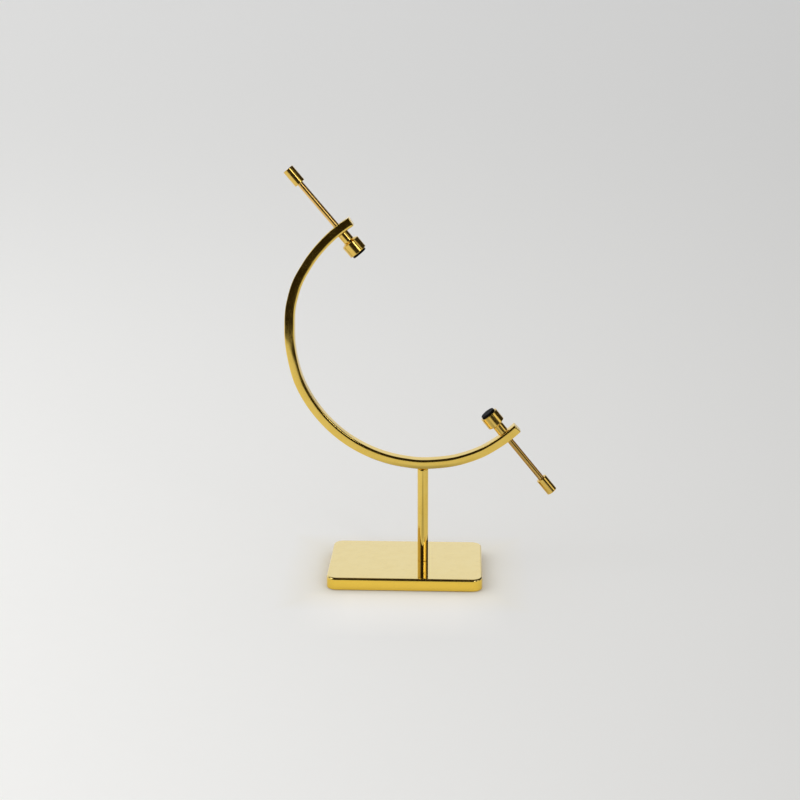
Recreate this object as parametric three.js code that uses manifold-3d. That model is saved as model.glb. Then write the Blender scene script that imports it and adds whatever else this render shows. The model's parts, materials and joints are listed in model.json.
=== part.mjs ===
// Caliper arc display stand: a brass plate, a post and a C-shaped bar that carries two screw clamps.
// Millimetres, +Z up. The origin is the centre of the stand's underside, on the surface it stands on.
// The C lies in the XZ plane. Each clamp screw has its own line in that plane, close to the C's centre.

import * as THREE from 'three';
import { mergeVertices } from 'three/addons/utils/BufferGeometryUtils.js';
import Module from 'manifold-3d';

const wasm = await Module();
wasm.setup();

// Base plate and felt
const PLATE_WIDTH = 91;
const PLATE_DEPTH = 58.5;
const PLATE_TOP = 7.6;
const PLATE_BOTTOM = 0.3;
const PLATE_CORNER = 6;
const PLATE_EDGE = 0.9;
const FELT_INSET = 3;
const FELT_TOP = 0.8;
const FELT_GAP = 0.1;

// Post, its screw and its stud
const POST_X = 10.1;
const POST_RADIUS = 3.175;
const POST_EDGE = 0.3;
const SCREW_RADIUS = 2;
const SCREW_HEAD_RADIUS = 3.9;
const SCREW_HEAD_HEIGHT = 1.9;
const SCREW_LENGTH = 14;
const SCREW_SLOT_WIDTH = 1;
const SCREW_SLOT_DEPTH = 0.9;
const SCREW_HEAD_EDGE = 0.15;
const STUD_RADIUS = 1.5;
const STUD_LENGTH = 9;
const STUD_IN_ARC = 3;
const THREAD_GAP = 0.05;
const END_GAP = 0.4;
const PAST_FACE = 1;

// Arc bar
const ARC_RADIUS = 79.8;
const ARC_THICKNESS = 5.5;
const ARC_DEPTH = 6.5;
const ARC_EDGE = 0.7;
const ARC_CENTRE_Z = 145.85;
const ARC_FIRST_ANGLE = 121.5;
const ARC_LAST_ANGLE = 315.2;
// A clamp's angle, and how far its line passes from the centre, clockwise as seen from the front
const CLAMPS = { upper: { angle: 129.8, offset: 2.8 }, lower: { angle: 308.9, offset: -0.2 } };

// Clamps, as distances along the screw's line from its point nearest to the arc's centre
const PAD_FACE = 58.9;
const PAD_BACK = 62.4;
const PAD_RADIUS = 4.2;
const CUP_RIM = 60.3;
const CUP_BACK = 67.4;
const CUP_RADIUS = 5.35;
const CUP_BORE = 4.4;
const CUP_SEAT = 62.6;
const POCKET_RADIUS = 2.8;
const POCKET_FLOOR = 65.6;
const NECK_START = 68.5;
const NECK_END = 74;
const NECK_RADIUS = 3.15;
const ROD_RADIUS = 1.75;
const ROD_END = 117.4;
const ROD_SHOULDER = 74.3;
const ROD_GAP = 0.05;
const SPIGOT_RADIUS = 1.35;
const SPIGOT_EDGE = 0.15;
const SPIGOT_END = 63.5;
const GROOVE_RADIUS = 0.9;
const GROOVE_START = 64.1;
const GROOVE_END = 64.7;
const CLIP_RADIUS = 2.2;
const CLIP_BORE = 0.95;
const CLIP_THICKNESS = 0.4;
const CLIP_HALF_GAP = 0.5;
const WASHER_RADIUS = 2.3;
const WASHER_BORE = 1.45;
const WASHER_THICKNESS = 0.4;
const WASHER_GAP = 0.15;
const KNOB_START = 110.2;
const KNOB_END = 120.5;
const KNOB_RADIUS = 3.2;
const SMALL_EDGE = 0.25;

const ROUND = 32;
const FINE_ROUND = 24;

const polishedBrass = new THREE.MeshStandardMaterial({ color: 0xd9b452, roughness: 0.12, metalness: 1 });
const threadedBrass = new THREE.MeshStandardMaterial({ color: 0xb98436, roughness: 0.3, metalness: 1 });
const steel = new THREE.MeshStandardMaterial({ color: 0xb9bbbd, roughness: 0.35, metalness: 1 });
const blackRubber = new THREE.MeshStandardMaterial({ color: 0x17171a, roughness: 0.75, metalness: 0 });
const greenFelt = new THREE.MeshStandardMaterial({ color: 0x1d3b2a, roughness: 0.95, metalness: 0 });

// A closed geometry as a solid that can be joined or cut.
function toSolid(geometry) {
  const bare = geometry.index ? geometry.toNonIndexed() : geometry;
  bare.deleteAttribute('normal');
  bare.deleteAttribute('uv');
  const merged = mergeVertices(bare, 1e-4);
  const vertProperties = new Float32Array(merged.attributes.position.array);
  const triVerts = new Uint32Array(merged.index.array);
  return new wasm.Manifold(new wasm.Mesh({ numProp: 3, vertProperties, triVerts }));
}

// A solid back as a geometry that a mesh can show.
function toGeometry(solid) {
  const mesh = solid.getMesh();
  const geometry = new THREE.BufferGeometry();
  geometry.setAttribute('position', new THREE.BufferAttribute(mesh.vertProperties, 3));
  geometry.setIndex(new THREE.BufferAttribute(mesh.triVerts, 1));
  geometry.computeVertexNormals();
  return geometry;
}

// A closed geometry with the shapes of the tools taken out of it.
function cut(body, tools) {
  let solid = toSolid(body);
  for (const tool of tools) {
    solid = solid.subtract(toSolid(tool));
  }
  return toGeometry(solid);
}

// A profile of [radius, height] pairs turned about +Z.
function turned(profile, sides) {
  const points = profile.map(([radius, height]) => new THREE.Vector2(radius, height));
  return new THREE.LatheGeometry(points, sides).rotateX(Math.PI / 2);
}

// A plain rod from one height to another, with both edges broken.
function plainRod(radius, bottom, top, edge, sides) {
  const profile = [
    [0, bottom],
    [radius - edge, bottom],
    [radius, bottom + edge],
    [radius, top - edge],
    [radius - edge, top],
    [0, top],
  ];
  return turned(profile, sides);
}

function roundedRectangle(width, depth, corner) {
  const x = width / 2 - corner;
  const y = depth / 2 - corner;
  const shape = new THREE.Shape();
  shape.absarc(x, y, corner, 0, Math.PI / 2, false);
  shape.absarc(-x, y, corner, Math.PI / 2, Math.PI, false);
  shape.absarc(-x, -y, corner, Math.PI, Math.PI * 1.5, false);
  shape.absarc(x, -y, corner, Math.PI * 1.5, Math.PI * 2, false);
  return shape;
}

// A flat plate of a given outline. Its upper and lower edges are rounded where edge is above zero.
function slab(shape, bottom, top, edge) {
  const geometry = new THREE.ExtrudeGeometry(shape, {
    depth: top - bottom - 2 * edge,
    bevelEnabled: edge > 0,
    bevelThickness: edge,
    bevelSize: edge,
    bevelOffset: -edge,
    bevelSegments: 2,
    curveSegments: 6,
  });
  return geometry.translate(0, 0, bottom + edge);
}

// Heavy plate with a shallow recess below for the felt and a countersunk hole for the post's screw.
function basePlate() {
  const outline = roundedRectangle(PLATE_WIDTH, PLATE_DEPTH, PLATE_CORNER);
  const body = slab(outline, PLATE_BOTTOM, PLATE_TOP, PLATE_EDGE);
  const margin = 2 * (FELT_INSET - FELT_GAP);
  const corner = PLATE_CORNER - FELT_INSET + FELT_GAP;
  const recessOutline = roundedRectangle(PLATE_WIDTH - margin, PLATE_DEPTH - margin, corner);
  const recess = slab(recessOutline, PLATE_BOTTOM - PAST_FACE, FELT_TOP, 0);
  const headHole = SCREW_HEAD_RADIUS + 2 * THREAD_GAP;
  const shankHole = SCREW_RADIUS + 2 * THREAD_GAP;
  const hole = turned([
    [0, PLATE_BOTTOM - PAST_FACE],
    [headHole, PLATE_BOTTOM - PAST_FACE],
    [headHole, FELT_TOP + 2 * THREAD_GAP],
    [shankHole, FELT_TOP + SCREW_HEAD_HEIGHT + 2 * THREAD_GAP],
    [shankHole, PLATE_TOP + PAST_FACE],
    [0, PLATE_TOP + PAST_FACE],
  ], ROUND).translate(POST_X, 0, 0);
  return cut(body, [recess, hole]);
}

// Felt sheet that fills the recess and stands a little below the plate.
function baseFelt() {
  const width = PLATE_WIDTH - 2 * FELT_INSET;
  const depth = PLATE_DEPTH - 2 * FELT_INSET;
  return slab(roundedRectangle(width, depth, PLATE_CORNER - FELT_INSET), 0, FELT_TOP - FELT_GAP, 0);
}

// Countersunk slotted screw, head down.
function baseScrew() {
  const bottom = FELT_TOP + THREAD_GAP;
  const body = turned([
    [0, bottom],
    [SCREW_HEAD_RADIUS, bottom],
    [SCREW_HEAD_RADIUS, bottom + SCREW_HEAD_EDGE],
    [SCREW_RADIUS, bottom + SCREW_HEAD_HEIGHT],
    [SCREW_RADIUS, bottom + SCREW_LENGTH - SMALL_EDGE],
    [SCREW_RADIUS - SMALL_EDGE, bottom + SCREW_LENGTH],
    [0, bottom + SCREW_LENGTH],
  ], FINE_ROUND);
  const slot = new THREE.BoxGeometry(3 * SCREW_HEAD_RADIUS, SCREW_SLOT_WIDTH, 2 * SCREW_SLOT_DEPTH);
  return cut(body, [slot.translate(0, 0, bottom)]).translate(POST_X, 0, 0);
}

// Round post with a tapped hole in each end.
function post() {
  const top = ARC_CENTRE_Z - ARC_RADIUS - THREAD_GAP;
  const lowerHole = SCREW_RADIUS + THREAD_GAP;
  const upperHole = STUD_RADIUS + THREAD_GAP;
  const lowerDepth = FELT_TOP + SCREW_LENGTH + END_GAP;
  const upperDepth = top - (STUD_LENGTH - STUD_IN_ARC) - END_GAP;
  return turned([
    [0, lowerDepth],
    [lowerHole, lowerDepth],
    [lowerHole, PLATE_TOP],
    [POST_RADIUS - POST_EDGE, PLATE_TOP],
    [POST_RADIUS, PLATE_TOP + POST_EDGE],
    [POST_RADIUS, top - POST_EDGE],
    [POST_RADIUS - POST_EDGE, top],
    [upperHole, top],
    [upperHole, upperDepth],
    [0, upperDepth],
  ], ROUND).translate(POST_X, 0, 0);
}

// Headless screw that joins the post's top to the bar.
function postStud() {
  const top = ARC_CENTRE_Z - ARC_RADIUS + STUD_IN_ARC;
  return plainRod(STUD_RADIUS, top - STUD_LENGTH, top, SMALL_EDGE, FINE_ROUND).translate(POST_X, 0, 0);
}

// The C-shaped bar, with a tapped hole for each clamp screw and a blind one for the post's stud.
function arcBar() {
  const first = THREE.MathUtils.degToRad(ARC_FIRST_ANGLE);
  const last = THREE.MathUtils.degToRad(ARC_LAST_ANGLE);
  const outline = new THREE.Shape();
  outline.absarc(0, 0, ARC_RADIUS, first, last, false);
  outline.absarc(0, 0, ARC_RADIUS - ARC_THICKNESS, last, first, true);
  const body = new THREE.ExtrudeGeometry(outline, {
    depth: ARC_DEPTH - 2 * ARC_EDGE,
    bevelThickness: ARC_EDGE,
    bevelSize: ARC_EDGE,
    bevelOffset: -ARC_EDGE,
    bevelSegments: 1,
    curveSegments: 64,
  });
  body.translate(0, 0, ARC_EDGE - ARC_DEPTH / 2).rotateX(Math.PI / 2);
  const inner = ARC_RADIUS - ARC_THICKNESS;
  const screwHoles = Object.values(CLAMPS).map(({ angle, offset }) => {
    const hole = plainRod(ROD_RADIUS + ROD_GAP, inner - PAST_FACE, ARC_RADIUS + PAST_FACE, 0, FINE_ROUND);
    return hole.translate(offset, 0, 0).rotateY(THREE.MathUtils.degToRad(90 - angle));
  });
  const studHoleTop = STUD_IN_ARC + END_GAP - ARC_RADIUS;
  const studHole = plainRod(STUD_RADIUS + THREAD_GAP, -ARC_RADIUS - PAST_FACE, studHoleTop, 0, FINE_ROUND);
  return cut(body, [...screwHoles, studHole]).translate(POST_X, 0, ARC_CENTRE_Z);
}

// Screw of a clamp: the thread ends at a shoulder, and a thin spigot with a clip groove goes on from it.
function threadedRod() {
  return turned([
    [0, SPIGOT_END],
    [SPIGOT_RADIUS - SPIGOT_EDGE, SPIGOT_END],
    [SPIGOT_RADIUS, SPIGOT_END + SPIGOT_EDGE],
    [SPIGOT_RADIUS, GROOVE_START],
    [GROOVE_RADIUS, GROOVE_START],
    [GROOVE_RADIUS, GROOVE_END],
    [SPIGOT_RADIUS, GROOVE_END],
    [SPIGOT_RADIUS, ROD_SHOULDER],
    [ROD_RADIUS, ROD_SHOULDER],
    [ROD_RADIUS, ROD_END - SMALL_EDGE],
    [ROD_RADIUS - SMALL_EDGE, ROD_END],
    [0, ROD_END],
  ], FINE_ROUND);
}

// Plain cylindrical knob, screwed onto the rod's outer end.
function knob() {
  const hole = ROD_RADIUS + ROD_GAP;
  return turned([
    [0, ROD_END + END_GAP],
    [hole, ROD_END + END_GAP],
    [hole, KNOB_START],
    [KNOB_RADIUS - SMALL_EDGE, KNOB_START],
    [KNOB_RADIUS, KNOB_START + SMALL_EDGE],
    [KNOB_RADIUS, KNOB_END - SMALL_EDGE],
    [KNOB_RADIUS - SMALL_EDGE, KNOB_END],
    [0, KNOB_END],
  ], ROUND);
}

// Cup with a seat for the rubber, a pocket for clip and washer, and a neck bored for the spigot.
function padHolder() {
  const bore = SPIGOT_RADIUS + ROD_GAP;
  const loop = [
    [CUP_BORE, CUP_RIM],
    [CUP_RADIUS - SMALL_EDGE, CUP_RIM],
    [CUP_RADIUS, CUP_RIM + SMALL_EDGE],
    [CUP_RADIUS, CUP_BACK],
    [NECK_RADIUS, NECK_START],
    [NECK_RADIUS, NECK_END - SMALL_EDGE],
    [NECK_RADIUS - SMALL_EDGE, NECK_END],
    [bore, NECK_END],
    [bore, POCKET_FLOOR],
    [POCKET_RADIUS, POCKET_FLOOR],
    [POCKET_RADIUS, CUP_SEAT],
    [CUP_BORE, CUP_SEAT],
    [CUP_BORE, CUP_RIM],
  ];
  return turned(loop, ROUND);
}

// Rubber disc that sits in the cup and touches the specimen.
function rubberPad() {
  return plainRod(PAD_RADIUS, PAD_FACE, PAD_BACK, SMALL_EDGE, ROUND);
}

// Flat ring between the clip and the pocket's floor. It takes the push of the screw.
function thrustWasher() {
  const top = POCKET_FLOOR - WASHER_GAP;
  const bottom = top - WASHER_THICKNESS;
  const loop = [
    [WASHER_BORE, bottom],
    [WASHER_RADIUS, bottom],
    [WASHER_RADIUS, top],
    [WASHER_BORE, top],
    [WASHER_BORE, bottom],
  ];
  return turned(loop, FINE_ROUND);
}

// Open ring that snaps into the spigot's groove. Its half gap is an angle in radians.
function retainingClip() {
  const end = 2 * Math.PI - CLIP_HALF_GAP;
  const ring = new THREE.Shape();
  ring.absarc(0, 0, CLIP_RADIUS, CLIP_HALF_GAP, end, false);
  ring.absarc(0, 0, CLIP_BORE, end, CLIP_HALF_GAP, true);
  const clip = new THREE.ExtrudeGeometry(ring, {
    depth: CLIP_THICKNESS,
    bevelEnabled: false,
    curveSegments: FINE_ROUND,
  });
  return clip.translate(0, 0, (GROOVE_START + GROOVE_END - CLIP_THICKNESS) / 2);
}

// A mesh that carries its sub-part's name.
function named(name, geometry, material) {
  const mesh = new THREE.Mesh(geometry, material);
  mesh.name = name;
  return mesh;
}

// One clamp along its own +Z, which points from the arc's centre out to the knob.
function clamp(side) {
  const group = new THREE.Group();
  group.add(named(`${side}_threaded_rod`, threadedRod(), threadedBrass));
  group.add(named(`${side}_knob`, knob(), polishedBrass));
  group.add(named(`${side}_pad_holder`, padHolder(), polishedBrass));
  group.add(named(`${side}_rubber_pad`, rubberPad(), blackRubber));
  group.add(named(`${side}_thrust_washer`, thrustWasher(), steel));
  group.add(named(`${side}_retaining_clip`, retainingClip(), steel));
  const { angle, offset } = CLAMPS[side];
  const turn = THREE.MathUtils.degToRad(90 - angle);
  group.position.set(POST_X + offset * Math.cos(turn), 0, ARC_CENTRE_Z - offset * Math.sin(turn));
  group.rotation.y = turn;
  return group;
}

const stand = new THREE.Group();
stand.add(named('base_plate', basePlate(), polishedBrass));
stand.add(named('base_felt', baseFelt(), greenFelt));
stand.add(named('base_screw', baseScrew(), steel));
stand.add(named('post', post(), polishedBrass));
stand.add(named('post_stud', postStud(), steel));
stand.add(named('arc_bar', arcBar(), polishedBrass));
for (const side of Object.keys(CLAMPS)) {
  stand.add(clamp(side));
}

export default stand;
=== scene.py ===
# %% [markdown]
# # A caliper arc display stand in polished brass
# The stand holds an egg, a mineral or a small sphere between two rubber pads.
# A heavy plate carries a round post, the post carries a C-shaped bar, and a fine screw goes through each end
# of the bar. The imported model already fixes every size, place and motion.
# This lesson makes the surfaces that catch the light, piece by piece, on top of it.

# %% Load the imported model
import json
import math

import bmesh
import bpy
from mathutils import Matrix, Vector


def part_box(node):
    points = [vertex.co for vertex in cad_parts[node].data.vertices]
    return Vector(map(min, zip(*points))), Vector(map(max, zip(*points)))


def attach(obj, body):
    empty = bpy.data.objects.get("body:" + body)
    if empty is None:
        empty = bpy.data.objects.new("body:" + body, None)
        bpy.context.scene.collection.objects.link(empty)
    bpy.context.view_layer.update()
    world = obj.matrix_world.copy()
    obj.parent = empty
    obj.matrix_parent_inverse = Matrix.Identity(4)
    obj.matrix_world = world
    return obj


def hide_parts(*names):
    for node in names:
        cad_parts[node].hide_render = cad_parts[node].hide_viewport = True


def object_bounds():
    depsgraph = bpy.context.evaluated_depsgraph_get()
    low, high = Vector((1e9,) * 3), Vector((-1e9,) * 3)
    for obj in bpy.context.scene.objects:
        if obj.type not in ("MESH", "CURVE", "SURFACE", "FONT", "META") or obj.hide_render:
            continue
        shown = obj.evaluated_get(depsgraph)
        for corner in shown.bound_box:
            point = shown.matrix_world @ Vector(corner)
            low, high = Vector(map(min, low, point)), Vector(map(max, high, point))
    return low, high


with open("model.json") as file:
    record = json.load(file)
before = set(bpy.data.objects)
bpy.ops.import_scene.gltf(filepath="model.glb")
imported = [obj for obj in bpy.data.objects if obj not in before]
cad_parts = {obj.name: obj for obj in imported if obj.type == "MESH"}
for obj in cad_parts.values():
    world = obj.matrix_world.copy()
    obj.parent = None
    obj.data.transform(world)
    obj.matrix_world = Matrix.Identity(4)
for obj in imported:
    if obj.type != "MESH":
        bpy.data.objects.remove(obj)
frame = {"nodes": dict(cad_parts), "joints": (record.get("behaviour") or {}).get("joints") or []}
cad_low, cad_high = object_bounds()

MM = 0.001
print("size in mm", [round((b - a) / MM, 1) for a, b in zip(cad_low, cad_high)])

# %% [markdown]
# ## Where everything is
# The bar is part of a circle, and each screw lies on a straight line that passes close to the circle's
# centre. So the post's axis, the circle's radius and centre, and the two screw lines give the whole layout.
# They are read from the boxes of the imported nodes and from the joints, so nothing is typed twice.

# %% Read the layout from the frame
plate_low, plate_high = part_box("base_plate")
felt_low, felt_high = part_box("base_felt")
post_low, post_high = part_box("post")
arc_low, arc_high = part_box("arc_bar")
POST_X = (post_low.x + post_high.x) / 2
ARC_RADIUS = POST_X - arc_low.x
ARC_CENTRE = Vector((POST_X, 0, arc_low.z + ARC_RADIUS))
POST_PLACE = Matrix.Translation((POST_X, 0, 0))
SIDES = ("upper", "lower")


def turn_joint(side):
    """The joint that a clamp's knob turns on."""
    return next(j for j in frame["joints"] if j["name"] == f"{side}_turn")


def outward_axis(side):
    """The direction from a clamp's pad to its knob."""
    return -Vector(turn_joint(side)["axis"]).normalized()


def clamp_place(side):
    """Lays a piece made along +Z on the clamp's line. z counts from the point nearest the arc's centre."""
    outward = outward_axis(side)
    on_line = Vector(turn_joint(side)["pos_m"])
    nearest = on_line + outward * (ARC_CENTRE - on_line).dot(outward)
    return Matrix.Translation(nearest) @ outward.to_track_quat("Z", "Y").to_matrix().to_4x4()


def reach(node, place):
    """The start, end and radius of a turned node, measured along the +Z of its place."""
    back = place.inverted()
    points = [back @ v.co for v in frame["nodes"][node].data.vertices]
    heights = [p.z for p in points]
    return min(heights), max(heights), max(p.xy.length for p in points)


print("arc radius", round(ARC_RADIUS / MM, 2), "centre", [round(c / MM, 2) for c in ARC_CENTRE])
print("upper knob", [round(d / MM, 2) for d in reach("upper_knob", clamp_place("upper"))])

# %% [markdown]
# ## The camera
# A long lens a little above the stand keeps the bar's circle round and shows the top of the plate.
# The camera is set first, so that every later step can be judged through it.

# %% Set the camera
CAMERA_PLACE = Vector((31.2, -775.3, 340.5)) * MM
CAMERA_TURN = math.radians(2.54)
CAMERA_DIP = math.radians(16.73)
CAMERA_TILT = math.radians(-0.21)
LENS, SENSOR = 63, 36


def new_object(name, data):
    """An object that holds the data, placed in the scene."""
    made = bpy.data.objects.new(name, data)
    bpy.context.scene.collection.objects.link(made)
    return made


camera = new_object("camera", bpy.data.cameras.new("camera"))
bpy.context.scene.camera = camera
camera.data.lens = LENS
camera.data.sensor_width = SENSOR
heading = Matrix.Rotation(CAMERA_TURN, 4, "Z") @ Matrix.Rotation(math.pi / 2 - CAMERA_DIP, 4, "X")
camera.matrix_world = Matrix.Translation(CAMERA_PLACE) @ heading @ Matrix.Rotation(CAMERA_TILT, 4, "Z")
print("camera at", [round(c / MM) for c in CAMERA_PLACE], "mm")

# %% [markdown]
# ## The picture's tones
# The default view transform rolls off bright colours and turns strong gold to a pale straw.
# A plain one keeps gold as rich as it is on a table in daylight, and lets the brightest glints burn out.

# %% Set the view transform
bpy.context.scene.view_settings.view_transform = "Standard"

# %% [markdown]
# ## Helpers for node trees
# Shader trees and geometry trees are built the same way: make a node, set it, join it to the one before.
# A few small helpers keep those trees short enough to read.

# %% Node helpers


def feed(tree, node, inputs):
    """Joins other sockets to a node's inputs, or sets the inputs to plain values."""
    for socket, value in inputs.items():
        if isinstance(value, bpy.types.NodeSocket):
            tree.links.new(value, node.inputs[socket])
        else:
            node.inputs[socket].default_value = value


def add(tree, kind, inputs=None, **settings):
    """A new node. settings are its properties, and inputs maps a socket to a value or to another socket."""
    made = tree.nodes.new(kind)
    for key, value in settings.items():
        setattr(made, key, value)
    feed(tree, made, inputs or {})
    return made


def split(tree, vector):
    """The X, Y and Z of a vector, as sockets."""
    return add(tree, "ShaderNodeSeparateXYZ", {0: vector}).outputs


def combine(tree, *parts):
    """A vector from up to three numbers or sockets."""
    return add(tree, "ShaderNodeCombineXYZ", dict(enumerate(parts))).outputs[0]


def calc(tree, operation, *values):
    """One arithmetic step on numbers or sockets, as a socket."""
    return add(tree, "ShaderNodeMath", dict(enumerate(values)), operation=operation).outputs[0]


def product(tree, *factors):
    """All the factors multiplied together."""
    result = factors[0]
    for factor in factors[1:]:
        result = calc(tree, "MULTIPLY", result, factor)
    return result


def blend_colours(tree, share, first, second):
    """A colour between two others, by a share from 0 to 1."""
    colours = [(*c, 1) if isinstance(c, tuple) else c for c in (first, second)]
    mixer = add(tree, "ShaderNodeMix", {"Factor": share, 6: colours[0], 7: colours[1]}, data_type="RGBA")
    return mixer.outputs[2]


def remap(tree, value, low, high, to_low, to_high):
    """A value stretched from one range to another and held inside it."""
    names = {"Value": value, "From Min": low, "From Max": high, "To Min": to_low, "To Max": to_high}
    return add(tree, "ShaderNodeMapRange", names).outputs["Result"]


# %% [markdown]
# ## Polished brass
# Real polished brass is a mirror with faults. The buffing wheel leaves broad, shallow waves that bend
# reflections, hairlines along the way it was worked, and softer edges where it bites most.
# One shader with a noise-driven roughness would give the shine and no sense of making.
# So three layers of detail are stacked: waves and hairlines as bump, haze in the roughness, and a little
# tone in the colour where the lacquer is thicker. Each piece says how its hairlines run.

# %% Make the brass shader
BRASS_LIGHT = (0.870, 0.620, 0.135)
BRASS_DEEP = (0.820, 0.550, 0.090)
PALE_BRASS = (0.900, 0.700, 0.240)
PALE_BRASS_DEEP = (0.880, 0.660, 0.190)
SIDE_BRASS = (0.930, 0.645, 0.095)
PLATE_LACQUER, SIDE_LACQUER = 0.8, 0.1
# how fast the buffing waves, the clouds of haze and the specks change, in steps per metre
WAVE_SCALE, CLOUD_SCALE, SPECK_SCALE = 55, 140, 1500
HAIRLINE_DEPTH = 0.0000015
SIDE_BLEND = 0.3 * MM


def start_material(name):
    """A new node material and its shader."""
    made = bpy.data.materials.new(name)
    made.use_nodes = True
    return made, made.node_tree, made.node_tree.nodes["Principled BSDF"]


def noise(tree, vector, scale, detail=2.0, roughness=0.5):
    """Soft procedural noise, as a socket from 0 to 1."""
    names = {"Vector": vector, "Scale": scale, "Detail": detail, "Roughness": roughness}
    return add(tree, "ShaderNodeTexNoise", names).outputs["Fac"]


def bump(tree, height, distance, strength, under=None):
    """A bump layer. distance is the height of its largest step in metres."""
    names = {"Height": height, "Distance": distance, "Strength": strength}
    if under is not None:
        names["Normal"] = under
    return add(tree, "ShaderNodeBump", names).outputs["Normal"]


def place_vector(tree, centre=(0, 0, 0)):
    """Object coordinates with the origin moved to a centre."""
    source = add(tree, "ShaderNodeTexCoord").outputs["Object"]
    moved = add(tree, "ShaderNodeVectorMath", {0: source, 1: tuple(centre)}, operation="SUBTRACT")
    return moved.outputs[0]


def brass(name, grain, wave_height, light=BRASS_LIGHT, deep=BRASS_DEEP, haze=(0.04, 0.12), lacquer=0.15,
          edge_haze=0.05):
    """Lacquered polished brass. grain makes the vector that its hairlines are stretched along."""
    material, tree, shader = start_material(name)
    here = place_vector(tree)
    hairs = grain(tree)
    broad = noise(tree, here, WAVE_SCALE, 1.0)
    cloud = noise(tree, here, CLOUD_SCALE, 3.0, 0.6)
    fine = noise(tree, hairs, 1.0, 3.0, 0.7)
    edge = add(tree, "ShaderNodeAttribute", attribute_name="edge").outputs["Fac"]
    tone = calc(tree, "ADD", remap(tree, cloud, 0.35, 0.7, 0.0, 0.6), product(tree, edge, 0.35))
    streaks = remap(tree, fine, 0.3, 0.7, 0.0, 1.0)
    smear = product(tree, streaks, remap(tree, cloud, 0.3, 0.7, 0.3, 1.0))
    rough = remap(tree, smear, 0.0, 1.0, *haze)
    waves = bump(tree, broad, wave_height, 1.0)
    # specks of dust and dried polish scatter a little light where the metal itself is dark
    specks = remap(tree, noise(tree, here, SPECK_SCALE, 3.0, 0.7), 0.45, 0.75, 0.0, 1.0)
    dull = product(tree, specks, remap(tree, cloud, 0.45, 0.70, 0.005, 0.12))
    feed(tree, shader, {
        "Base Color": blend_colours(tree, tone, light, deep),
        "Roughness": calc(tree, "ADD", rough, product(tree, edge, edge_haze)),
        "Normal": bump(tree, fine, HAIRLINE_DEPTH, 0.5, waves),
        "Metallic": calc(tree, "SUBTRACT", 1.0, dull),
        "Coat Weight": lacquer, "Coat Roughness": 0.04})
    return material


def deepen_sides(material, height):
    """Deeper gold with a thin lacquer below a height, where the plate's sides were wiped almost dry."""
    tree = material.node_tree
    shader = tree.nodes["Principled BSDF"]
    level = split(tree, place_vector(tree))["Z"]
    side = remap(tree, level, height - SIDE_BLEND, height, 1.0, 0.0)
    paint = shader.inputs["Base Color"].links[0].from_socket
    feed(tree, shader, {"Base Color": blend_colours(tree, side, paint, SIDE_BRASS),
                        "Coat Weight": remap(tree, side, 0.0, 1.0, PLATE_LACQUER, SIDE_LACQUER)})


def straight_grain(scale):
    """Hairlines that run straight, by how fast the noise changes along x, y and z in steps per metre."""
    def make(tree):
        here = place_vector(tree)
        return add(tree, "ShaderNodeVectorMath", {0: here, 1: scale}, operation="MULTIPLY").outputs[0]
    return make


def arc_grain(centre, radius, along, across):
    """Hairlines that follow the bar round its circle. The angle starts in the open side of the C."""
    def make(tree):
        here = split(tree, place_vector(tree, centre))
        # the angle jumps from a half turn to minus a half turn, and that must happen in the C's opening

        def along_direction(x, z):
            return calc(tree, "ADD", product(tree, here["X"], x), product(tree, here["Z"], z))

        ahead = along_direction(-OPEN_SIDE.x, -OPEN_SIDE.z)
        aside = along_direction(OPEN_SIDE.z, -OPEN_SIDE.x)
        angle = calc(tree, "ARCTAN2", aside, ahead)
        squares = [calc(tree, "POWER", here[k], 2.0) for k in ("X", "Z")]
        distance = calc(tree, "SQRT", calc(tree, "ADD", *squares))
        return combine(tree, product(tree, angle, along * radius), product(tree, here["Y"], across),
                       product(tree, distance, across))
    return make


def turned_grain(centre, axis, across):
    """Fine rings left by the lathe tool, round an axis and across the end faces."""
    def make(tree):
        pair = {0: place_vector(tree, centre), 1: tuple(axis)}
        along = add(tree, "ShaderNodeVectorMath", pair, operation="DOT_PRODUCT").outputs["Value"]
        off = add(tree, "ShaderNodeVectorMath", pair, operation="CROSS_PRODUCT").outputs[0]
        away = add(tree, "ShaderNodeVectorMath", {0: off}, operation="LENGTH").outputs["Value"]
        return combine(tree, product(tree, calc(tree, "ADD", along, away), across))
    return make


# The open side of the C lies half way between its two ends, seen from the centre.
ends = [outward_axis(side) for side in SIDES]
OPEN_SIDE = Vector((-ends[0].z, 0, ends[0].x)) * -1
if OPEN_SIDE.x < 0:
    OPEN_SIDE = -OPEN_SIDE
print("the C opens towards", [round(c, 2) for c in OPEN_SIDE])

PLATE_EDGE = 1.35 * MM
plate_brass = brass("plate_brass", straight_grain((260, 1500, 1500)), 0.00003, PALE_BRASS, PALE_BRASS_DEEP,
                    lacquer=PLATE_LACQUER)
deepen_sides(plate_brass, plate_high.z - PLATE_EDGE * 2 / 3)
arc_brass = brass("arc_brass", arc_grain(ARC_CENTRE, ARC_RADIUS, 160, 2600), 0.00005, edge_haze=0.25)
post_brass = brass("post_brass", turned_grain((POST_X, 0, 0), (0, 0, 1), 9000), 0.00002)
clamp_brass = brass("clamp_brass", turned_grain(ARC_CENTRE, ends[0], 9000), 0.00002,
                    (0.810, 0.560, 0.130), (0.730, 0.470, 0.085), (0.13, 0.24))
print("brass finishes", [m.name for m in bpy.data.materials if m.name.endswith("brass")])

# %% [markdown]
# ## The threaded brass, steel, rubber and felt
# A thread is cut, not buffed, so its brass is redder and less bright than the rest.
# The screws below are plated steel. The pads are moulded rubber with a dry bloom, and the felt is short wool.
# Each gets its own tree, because a shared one would need more switches than it saves nodes.

# %% Make the other finishes
thread_brass = brass("thread_brass", turned_grain(ARC_CENTRE, ends[0], 12000), 0.00001,
                     (0.82, 0.55, 0.16), (0.73, 0.46, 0.11), (0.05, 0.12))


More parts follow.
